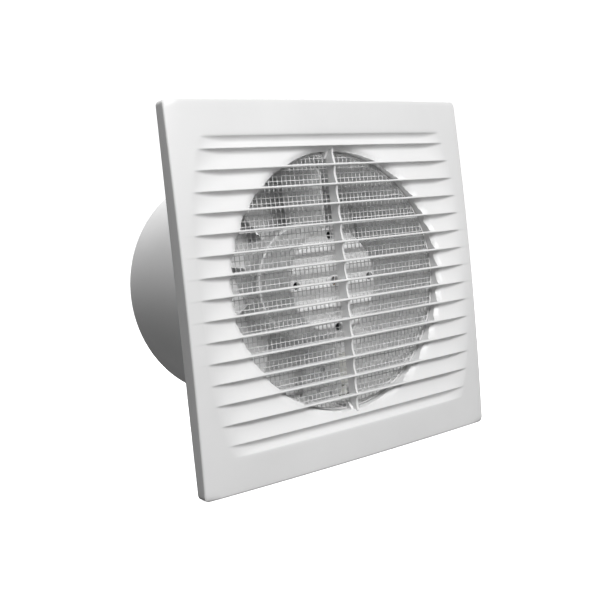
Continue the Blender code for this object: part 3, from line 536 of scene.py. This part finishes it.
def cover_rows():
    """Heights close together round each lip and foot, and wider apart on the slopes."""
    heights = []
    for upper, lower in zip(EDGES, EDGES[1:]):
        heights += [upper] + [upper - s for s in LIP_STEPS]
        heights += [upper - s for s in np.arange(0.0044, upper - lower - 0.0009, FINE_STEP)]
        heights += [lower + s for s in FOOT_STEPS]
    heights.append(EDGES[-1])
    top = max(heights)
    bottom = min(heights)
    heights += list(np.arange(top + 0.0010, PANEL_HALF - EDGE_ROUND, COARSE_STEP))
    heights += list(np.arange(bottom - 0.0010, -PANEL_HALF + EDGE_ROUND, -COARSE_STEP))
    for s in EDGE_STEPS:
        heights += [PANEL_HALF - EDGE_ROUND * s, -PANEL_HALF + EDGE_ROUND * s]
    heights = sorted(set(round(h, 7) for h in heights))
    kept = [heights[0]]
    for h in heights[1:]:
        if h - kept[-1] > 0.00008:
            kept.append(h)
    return np.array(kept)


def blade_solid(number, lip):
    """A thin blade across the opening with a rounded front edge, buried in the louvre at both ends."""
    reach = math.sqrt((OPENING_R + MOUTH_ROUND + BLADE_BURIED) ** 2 - lip ** 2)
    centre = lip - BLADE_THICK / 4
    half = BLADE_THICK / 2
    section = []
    for i in range(7):
        angle = math.pi * (i / 6 - 0.5)
        section.append((half * (1 - math.cos(angle)), half * math.sin(angle)))
    stations = np.linspace(-reach, reach, 61)
    shape = bmesh.new()
    rings = []
    for x in stations:
        front = BLADE_SETBACK - float(dome_depth(x, lip))
        ring = [shape.verts.new((x, BLADE_BACK_Y, centre - half * BLADE_BACK_SHARE))]
        ring += [shape.verts.new((x, front + y, centre + z)) for y, z in section]
        ring.append(shape.verts.new((x, BLADE_BACK_Y, centre + half * BLADE_BACK_SHARE)))
        rings.append(ring)
    for ring, following in zip(rings, rings[1:]):
        for i in range(len(ring)):
            j = (i + 1) % len(ring)
            shape.faces.new((ring[i], ring[j], following[j], following[i]))
    shape.faces.new(rings[0])
    shape.faces.new(rings[-1])
    return from_bmesh(f"blade_{number}", shape)


def rib_solid():
    """The upright rib, whose front edge follows the louvres' slopes."""
    top = OPENING_R + COLLAR_WALL / 2
    heights = np.array([z for z in cover_rows() if abs(z) < top - 0.0002])
    heights = np.concatenate([[-top], heights, [top]])
    front = RIB_FOLLOW * soft_sawtooth(heights, RIB_FLANK) + RIB_RECESS - dome_depth(0 * heights, heights)
    outline = [(float(y), float(z)) for y, z in zip(front, heights)]
    outline += [(RIB_BACK_Y, top), (RIB_BACK_Y, -top)]
    return prism("rib", outline, RIB_THICK, "YZ", 0.0)


def tongue_solid(name, side):
    """A snap tongue that reaches into the spigot's mouth."""
    foot = -FLANGE_THICK - 2 * GAP
    outer = OPENING_R + COLLAR_WALL / 2
    outline = [(foot - 0.004, outer), (foot, outer), (foot, BORE - 0.0013), (0.0028, BORE - 0.0013),
               (0.0034, BORE - 0.0008), (0.0040, BORE - 0.00085), (0.0052, BORE - 0.0015),
               (0.0056, BORE - 0.0021),
               (0.0056, BORE - 0.0028), (foot - 0.0006, BORE - 0.0028), (foot - 0.004, OPENING_R + 0.0002)]
    return prism(name, [(y, side * z) for y, z in outline], 2 * TONGUE_HALF, "YZ", 0.0)


def make_cover():
    across = cover_columns()
    up = cover_rows()
    cover = height_field("louvred_cover", across, up, 0.0, -GAP)
    outline = prism("outline", rounded_square(PANEL_HALF, PANEL_CORNER), 0.04, "XZ", -0.01)
    boolean(cover, [outline], "INTERSECT")

    def smooth_hollow(x, z):
        return 0.5 * edge_drop(x, z) - dome_depth(x, z)

    inside = np.linspace(-PANEL_HALF + COVER_WALL, PANEL_HALF - COVER_WALL, 41)
    hollow = height_field("hollow", inside, inside, LOUVRE_DEPTH + HOLLOW_MARGIN, 0.004, smooth_hollow)
    boolean(hollow, [cylinder("collar", OPENING_R + COLLAR_WALL, -0.03, 0.03, 128, 0.003)], "DIFFERENCE")
    mouth = cylinder("mouth", OPENING_R, -0.03, 0.03, 192, 0.007)
    room = FLANGE_HALF + GAP
    corners = [(-room, -room), (room, -room), (room, room), (-room, room)]
    recess = prism("recess", corners, 0.02, "XZ", 0.01 - FLANGE_THICK - GAP)
    boolean(cover, [hollow, mouth, recess], "DIFFERENCE")
    blades = [blade_solid(number, lip) for number, lip in enumerate(LIPS[2:-2])]
    boolean(cover, blades + [rib_solid()], "UNION")
    boolean(cover, [tongue_solid("tongue_a", 1), tongue_solid("tongue_b", -1)], "UNION")
    finish_piece(cover, WHITE, "cover", "white_abs", "grille_cover")


# The net

NET_PITCH = 0.00293
NET_WIRE_R = 0.00023
NET_BULGE = 0.0008
NET_RIM = 0.0010
NET_SMOOTH_ANGLE = 60
NET_WEAVE = 0.00008          # how far the level wires lie in front of the upright ones
NET_LOW, NET_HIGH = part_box("insect_screen")
NET_R = NET_HIGH.x
NET_MIDDLE_Y = (NET_LOW.y + NET_HIGH.y) / 2
NET_HALF = (NET_HIGH.y - NET_LOW.y) / 2


def net_y(x, z):
    return NET_MIDDLE_Y - NET_BULGE * (1 - (x * x + z * z) / NET_R ** 2)


def net_wire(shape, points, sideways, sides=6):
    """A round wire through the points, its section spanned by a sideways axis and Y."""
    rings = []
    for x, y, z in points:
        ring = []
        for k in range(sides):
            angle = 2 * math.pi * k / sides
            step = NET_WIRE_R * math.cos(angle)
            ring.append(shape.verts.new((x + step * sideways[0], y + NET_WIRE_R * math.sin(angle),
                                         z + step * sideways[1])))
        rings.append(ring)
    for ring, following in zip(rings, rings[1:]):
        for k in range(sides):
            j = (k + 1) % sides
            shape.faces.new((ring[k], ring[j], following[j], following[k]))
    shape.faces.new(rings[0])
    shape.faces.new(rings[-1])


def make_net():
    shape = bmesh.new()
    count = int(NET_R / NET_PITCH)
    for i in range(-count, count + 1):
        place = i * NET_PITCH
        if abs(place) > NET_R - 0.0014:
            continue
        reach = math.sqrt((NET_R - NET_RIM / 2) ** 2 - place ** 2)
        steps = max(4, int(reach / 0.006) * 2)
        along = np.linspace(-reach, reach, steps + 1)
        net_wire(shape, [(place, net_y(place, s), s) for s in along], (1, 0))
        net_wire(shape, [(s, net_y(s, place) - NET_WEAVE, place) for s in along], (0, 1))
    net = from_bmesh("insect_net", shape, NET_SMOOTH_ANGLE)
    inner = NET_R - NET_RIM
    front = NET_MIDDLE_Y - NET_HALF
    back = NET_MIDDLE_Y + NET_HALF
    profile = [(NET_R, back), (NET_R, front + 0.0002), (NET_R - 0.0002, front),
               (inner + 0.0002, front), (inner, front + 0.0002), (inner, back)]
    rim = tube_solid("net_rim", profile, 128)
    wide = TONGUE_HALF + TONGUE_SLIT
    gaps = []
    for side in (1, -1):
        near, far = sorted((side * (BORE - 0.0045), side * (BORE + 0.004)))
        corners = [(-wide, near), (wide, near), (wide, far), (-wide, far)]
        gaps.append(prism(f"gap_{side}", corners, 0.02, "XZ", 0.0))
    boolean(rim, gaps, "DIFFERENCE")
    finish_piece(net, NET, "cover", "screen_net", "insect_screen")
    finish_piece(rim, NET, "cover", "screen_net")


# The casing

def cup_radius(y):
    share = (y - CUP_FRONT_Y) / (CUP_BACK_Y - CUP_FRONT_Y)
    return CUP_FRONT_R + (CUP_BACK_R - CUP_FRONT_R) * share


def round_corner(radius, y, size, steps):
    """Points of a quarter turn from a turned side at a radius to the front face at y."""
    points = []
    for i in range(steps + 1):
        angle = math.pi / 2 * i / steps
        points.append((radius - size * (1 - math.cos(angle)), y + size * (1 - math.sin(angle))))
    return points


def rod_along(name, axis, place, half, radius, sides=32):
    """A round cutter about a point, along X, Y or Z."""
    rod = cylinder(name, radius, -half, half, sides, 0.05)
    turns = {"X": Matrix.Rotation(math.pi / 2, 4, "Z"), "Y": Matrix.Identity(4),
             "Z": Matrix.Rotation(math.pi / 2, 4, "X")}
    rod.data.transform(Matrix.Translation(place) @ turns[axis])
    return rod


def cup_solid():
    face_back = CUP_FRONT_Y + CUP_WALL
    seat_back = face_back + BEARING_SEAT_DEPTH
    seat = BEARING_R + GAP
    rim_y = CUP_BACK_Y - CUP_RIM_HEIGHT
    rim_r = CUP_BACK_R + CUP_RIM_PROUD
    profile = [(rim_r, CUP_BACK_Y)] + round_corner(rim_r, rim_y, 0.0005, 3)
    profile += [(cup_radius(rim_y), rim_y)] + round_corner(CUP_FRONT_R, CUP_FRONT_Y, 0.0012, 6)
    profile += [(BOSS_R + 0.0004, CUP_FRONT_Y), (BOSS_R, CUP_FRONT_Y - 0.0003)]
    profile += round_corner(BOSS_R, CUP_FRONT_Y - 0.0010, 0.0003, 3)
    profile += [(BOSS_R - 0.0011, CUP_FRONT_Y - 0.0010), (BOSS_R - 0.0013, CUP_FRONT_Y - 0.0008),
                (BOSS_R - 0.0013, face_back - GAP), (seat, face_back - GAP), (seat, seat_back),
                (seat + BEARING_SEAT_WALL, seat_back), (seat + BEARING_SEAT_WALL, face_back),
                (cup_radius(face_back) - CUP_WALL, face_back), (CUP_BACK_R - CUP_WALL, CUP_BACK_Y)]
    return tube_solid("cup", profile, 128)


def strut_solid(name, side):
    bury = CUP_WALL / 2
    outer = SPIGOT_OUTER - SPIGOT_WALL / 2
    clear_z = BORE - 0.0055
    outline = [
        (STRUT_FRONT_Y, cup_radius(STRUT_FRONT_Y) - bury), (STRUT_FRONT_Y, clear_z - 0.004),
        (STRUT_TONGUE_Y, clear_z), (STRUT_TONGUE_Y, outer), (STRUT_BACK_Y, outer),
        (STRUT_BACK_Y, CUP_BACK_R), (CUP_BACK_Y - 0.001, CUP_BACK_R - bury),
    ]
    strut = prism(name, [(y, side * z) for y, z in outline], STRUT_THICK, "YZ", 0.0)
    soften(strut, 0.0004)
    return strut


def casing_cutters():
    """The wall's screw holes, the clip windows, the cable's hole, and the holes for screws and wires."""
    cutters = []
    for x in (-WALL_HOLE_PLACE, WALL_HOLE_PLACE):
        for z in (-WALL_HOLE_PLACE, WALL_HOLE_PLACE):
            cutters.append(rod_along("wall_hole", "Y", (x, 0, z), 0.02, WALL_HOLE_R))
    for side in (1, -1):
        near, far = sorted(side * reach for reach in CLIP_WINDOW_REACH)
        wide = CLIP_WINDOW_HALF
        corners = [(-wide, near), (wide, near), (wide, far), (-wide, far)]
        cutters.append(prism("window", corners, 0.0062, "XZ", 0.0041))
        place = side * SCREW_PLACE * math.sqrt(0.5)
        cutters.append(rod_along("pilot", "Y", (place, 0.0069, place), 0.0031, SCREW_R + GAP, 20))
    for turn in range(4):
        angle = math.pi / 2 * turn
        place = (CUP_HOLE_PLACE * math.cos(angle), 0.0005, CUP_HOLE_PLACE * math.sin(angle))
        cutters.append(rod_along("cup_hole", "Y", place, 0.0045, CUP_HOLE_R))
    low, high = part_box("cable_grommet")
    middle = (low + high) / 2
    cutters.append(rod_along("cable_hole", "Z", (middle.x, middle.y, -0.074), 0.006, GROMMET_R + GAP, 48))
    for node in ("terminal_block_screw", "clamp_screw_1", "clamp_screw_2"):
        low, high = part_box(node)
        middle = (low + high) / 2
        radius = 0.0018 if node == "terminal_block_screw" else 0.0015
        cutters.append(rod_along("screw_hole", "X", (0, middle.y, middle.z), 0.006, radius, 24))
    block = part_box("terminal_block")[1]
    lead = (block.x - 0.0067, block.y - 0.0034, -CUP_FRONT_R - 0.0025)
    cutters.append(rod_along("lead_hole", "Z", lead, 0.006, LEAD_HOLE_R, 24))
    return cutters


def make_casing():
    root = []
    for i in range(6):
        angle = math.pi / 2 * i / 5
        root.append((SPIGOT_OUTER + ROOT_FILLET * (1 - math.sin(angle)),
                     0.00002 + ROOT_FILLET * (1 - math.cos(angle))))
    profile = [(SPIGOT_OUTER + ROOT_FILLET, -0.0010)] + root
    profile += [(SPIGOT_OUTER, SPIGOT_LENGTH - 0.0016), (SPIGOT_OUTER - 0.0003, SPIGOT_LENGTH - 0.0006),
                (SPIGOT_OUTER - 0.0008, SPIGOT_LENGTH), (BORE + 0.0003, SPIGOT_LENGTH),
                (BORE, SPIGOT_LENGTH - 0.0003), (BORE, -0.0010)]
    casing = tube_solid("smooth_casing", profile, 192)
    flange = prism("flange", rounded_square(FLANGE_HALF, PANEL_CORNER), FLANGE_THICK, "XZ", -FLANGE_THICK / 2)
    soften(flange, 0.0003)
    boolean(casing, [flange], "UNION")
    boolean(casing, [cylinder("mouth", BORE + 0.0004, -0.02, 0.0003, 192, 0.008)], "DIFFERENCE")
    posts = []
    for side in (1, -1):
        place = side * SCREW_PLACE * math.sqrt(0.5)
        posts.append(rod_along("post", "Y", (place, 0.0047, place), 0.0025, SCREW_R + SCREW_POST_WALL, 24))
    boolean(casing, [cup_solid(), strut_solid("strut_a", 1), strut_solid("strut_b", -1)] + posts, "UNION")
    boolean(casing, casing_cutters(), "DIFFERENCE")
    finish_piece(casing, CASING_WHITE, "casing", "casing_abs", "casing")


# The impeller and its shaft

def fan_blade(number):
    """A twisted blade with rounded edges, lofted from inside the hub's wall to its tip."""
    turn = FIRST_BLADE + 2 * math.pi * number / BLADE_COUNT
    inner = HUB_R - HUB_WALL / 2
    shape = bmesh.new()
    rings = []
    for share in FAN_BLADE_STATIONS:
        radius = inner + (FAN_BLADE_TIP_R - inner) * share
        pitch = math.radians(ROOT_PITCH + (TIP_PITCH - ROOT_PITCH) * share)
        corner = max(share - 0.92, 0) / 0.08
        chord = (ROOT_CHORD + (TIP_CHORD - ROOT_CHORD) * share) * (1 - 0.07 * corner ** 2)
        upper, lower = [], []
        for step in range(21):
            along = -0.5 * math.cos(math.pi * step / 20)
            camber = FAN_BLADE_CAMBER * chord * (1 - 4 * along * along)
            half = FAN_BLADE_THICK / 2 * (1 - 1.6 * abs(along) ** 2)
            half *= math.sqrt(max(1 - abs(2 * along) ** 14, 0.01))
            upper.append((along * chord, camber + half))
            lower.append((along * chord, camber - half))
        ring = []
        for length, height in upper + lower[::-1]:
            around = length * math.cos(pitch) - height * math.sin(pitch)
            y = FAN_BLADE_MIDDLE_Y + length * math.sin(pitch) + height * math.cos(pitch)
            angle = turn - around / radius
            ring.append(shape.verts.new((radius * math.cos(angle), y, radius * math.sin(angle))))
        rings.append(ring)
    for ring, following in zip(rings, rings[1:]):
        for i in range(len(ring)):
            j = (i + 1) % len(ring)
            shape.faces.new((ring[i], ring[j], following[j], following[i]))
    shape.faces.new(rings[0])
    shape.faces.new(rings[-1])
    return from_bmesh(f"fan_blade_{number}", shape)


def make_impeller():
    inner = HUB_R - HUB_WALL
    bore = SHAFT_R + GAP / 2
    front = HUB_FRONT_Y
    profile = [(HUB_R - 0.0003, HUB_BACK_Y), (HUB_R, HUB_BACK_Y - 0.0003)]
    profile += round_corner(HUB_R, front, 0.0030, 8)
    profile += [(bore + 0.0003, front), (bore, front + 0.0003), (bore, 0.0597), (bore + 0.0003, 0.0600),
                (0.0062, 0.0600), (0.0065, 0.0597), (0.0065, front + HUB_WALL + 0.0006),
                (0.0071, front + HUB_WALL), (inner - 0.0022, front + HUB_WALL),
                (inner - 0.0007, front + HUB_WALL + 0.0008), (inner, front + 0.0045),
                (inner, HUB_BACK_Y - 0.0003), (inner + 0.0003, HUB_BACK_Y)]
    impeller = tube_solid("smooth_impeller", profile, 128)
    boolean(impeller, [fan_blade(number) for number in range(BLADE_COUNT)], "UNION")
    finish_piece(impeller, FAN_GREY, "rotor", "impeller_abs", "impeller")


def make_shaft():
    low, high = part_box("motor_shaft")
    edge = 0.0004
    profile = [(0, high.y), (SHAFT_R - edge, high.y), (SHAFT_R, high.y - edge), (SHAFT_R, low.y + edge),
               (SHAFT_R - edge, low.y), (0, low.y)]
    finish_piece(tube_solid("round_shaft", profile, 48), STEEL, "rotor", "steel", "motor_shaft")


def make_grommet():
    low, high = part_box("cable_grommet")
    middle = (low + high) / 2
    collar = (high.x - low.x) / 2
    bore = GROMMET_BORE
    profile = [(GROMMET_R, low.z + 0.0005), (GROMMET_R - 0.0005, low.z), (bore + 0.0004, low.z),
               (bore, low.z + 0.0004), (bore, high.z - 0.0004), (bore + 0.0004, high.z),
               (collar - 0.0004, high.z), (collar, high.z - 0.0004), (collar, high.z - 0.0009),
               (collar - 0.0004, high.z - 0.0013), (GROMMET_R, high.z - 0.0013)]
    grommet = tube_solid("round_grommet", profile, 64)
    upright = Matrix(((1, 0, 0, middle.x), (0, 0, -1, middle.y), (0, 1, 0, 0), (0, 0, 0, 1)))
    grommet.data.transform(upright)
    finish_piece(grommet, RUBBER, "casing", "rubber", "cable_grommet")


make_cover()
make_net()
make_casing()
make_impeller()
make_shaft()
make_grommet()

for node, material in KEPT.items():
    thing = NODES[node]
    thing.data.materials.clear()
    thing.data.materials.append(material)


# Camera, fitted to the outlines of the fan in the photo

CAMERA_LENS = 51.11
CAMERA_SHIFT = (0.0005, -0.0291)
CAMERA_PLACE = (-0.30036, -0.38909, 0.02630)
CAMERA_RIGHT = (0.80918581, -0.57884444, -0.10078409)
CAMERA_FORWARD = (0.57680745, 0.81526839, -0.05128949)


def make_camera():
    data = bpy.data.cameras.new("camera")
    data.lens = CAMERA_LENS
    data.sensor_width = 36.0
    data.shift_x, data.shift_y = CAMERA_SHIFT
    data.clip_start = 0.01
    camera = bpy.data.objects.new("camera", data)
    bpy.context.scene.collection.objects.link(camera)
    right = Vector(CAMERA_RIGHT).normalized()
    forward = Vector(CAMERA_FORWARD).normalized()
    up = right.cross(forward).normalized()
    turn = Matrix((right, up, -forward)).transposed()
    camera.matrix_world = Matrix.Translation(CAMERA_PLACE) @ turn.to_4x4()
    bpy.context.scene.camera = camera


# Stage and light

def make_stage():
    """A pale floor that curves up all round into a pale backdrop."""
    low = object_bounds()[0].z
    flat, rise, top = 1.5, 0.8, 1.6
    profile = [(0.0, low), (flat, low)]
    for i in range(1, 9):
        angle = math.pi / 2 * i / 8
        profile.append((flat + rise * math.sin(angle), low + rise * (1 - math.cos(angle))))
    profile.append((flat + rise, low + rise + top))
    shape = bmesh.new()
    sides = 96
    rings = [[shape.verts.new((0, 0, low))] * sides]
    for radius, z in profile[1:]:
        rings.append([shape.verts.new((radius * math.cos(2 * math.pi * k / sides),
                                       radius * math.sin(2 * math.pi * k / sides), z)) for k in range(sides)])
    for ring, following in zip(rings, rings[1:]):
        for k in range(sides):
            j = (k + 1) % sides
            corners = list(dict.fromkeys([ring[k], ring[j], following[j], following[k]]))
            shape.faces.new(corners)
    mesh = bpy.data.meshes.new("pale_floor")
    bmesh.ops.recalc_face_normals(shape, faces=shape.faces)
    shape.to_mesh(mesh)
    shape.free()
    floor = bpy.data.objects.new("pale_floor", mesh)
    bpy.context.scene.collection.objects.link(floor)
    mesh.shade_smooth()
    made = Nodes("pale_paper")
    made.link(made.ramp(made.noise(6.0), [(0.3, (0.88, 0.88, 0.88)), (0.7, (0.90, 0.90, 0.90))]),
              made.shader.inputs["Base Color"])
    made.shader.inputs["Roughness"].default_value = 0.9
    made.shader.inputs["Specular IOR Level"].default_value = 0.0
    made.shader.inputs["Emission Color"].default_value = (1, 1, 1, 1)
    made.shader.inputs["Emission Strength"].default_value = 0.95
    mesh.materials.append(made.material)
    floor.visible_diffuse = False
    floor.visible_glossy = False
    floor.visible_shadow = False


def soft_light(name, direction, distance, size, power):
    """A square soft light that faces the fan from a direction."""
    data = bpy.data.lights.new(name, "AREA")
    data.shape = "SQUARE"
    data.size = size
    data.energy = power
    light = bpy.data.objects.new(name, data)
    bpy.context.scene.collection.objects.link(light)
    towards = Vector(direction).normalized()
    light.location = towards * distance
    light.rotation_euler = towards.to_track_quat("Z", "Y").to_euler()
    light.visible_camera = False
    return light


def make_world(strength):
    """Even light from all round."""
    world = bpy.data.worlds.new("ambient")
    world.use_nodes = True
    background = world.node_tree.nodes["Background"]
    background.inputs["Color"].default_value = (1, 1, 1, 1)
    background.inputs["Strength"].default_value = strength
    bpy.context.scene.world = world


AMBIENT = 0.06
# Name: direction from the fan, distance, size, watts
LIGHTS = {
    "key": ((-0.1, -1.0, 0.65), 1.5, 0.6, 24.6),
    "top_back": ((-0.15, 0.45, 1.0), 1.2, 0.8, 13.6),
    "left": ((-1.0, -0.2, 0.2), 1.3, 0.8, 0.5),
    "under": ((-0.6, 0.3, -0.8), 1.3, 0.8, 1.3),
}

make_camera()
make_stage()
make_world(AMBIENT)
for light_name, (direction, distance, size, power) in LIGHTS.items():
    soft_light(light_name, direction, distance, size, power)
bpy.context.scene.view_settings.view_transform = "Standard"
bpy.context.scene.view_settings.look = "None"
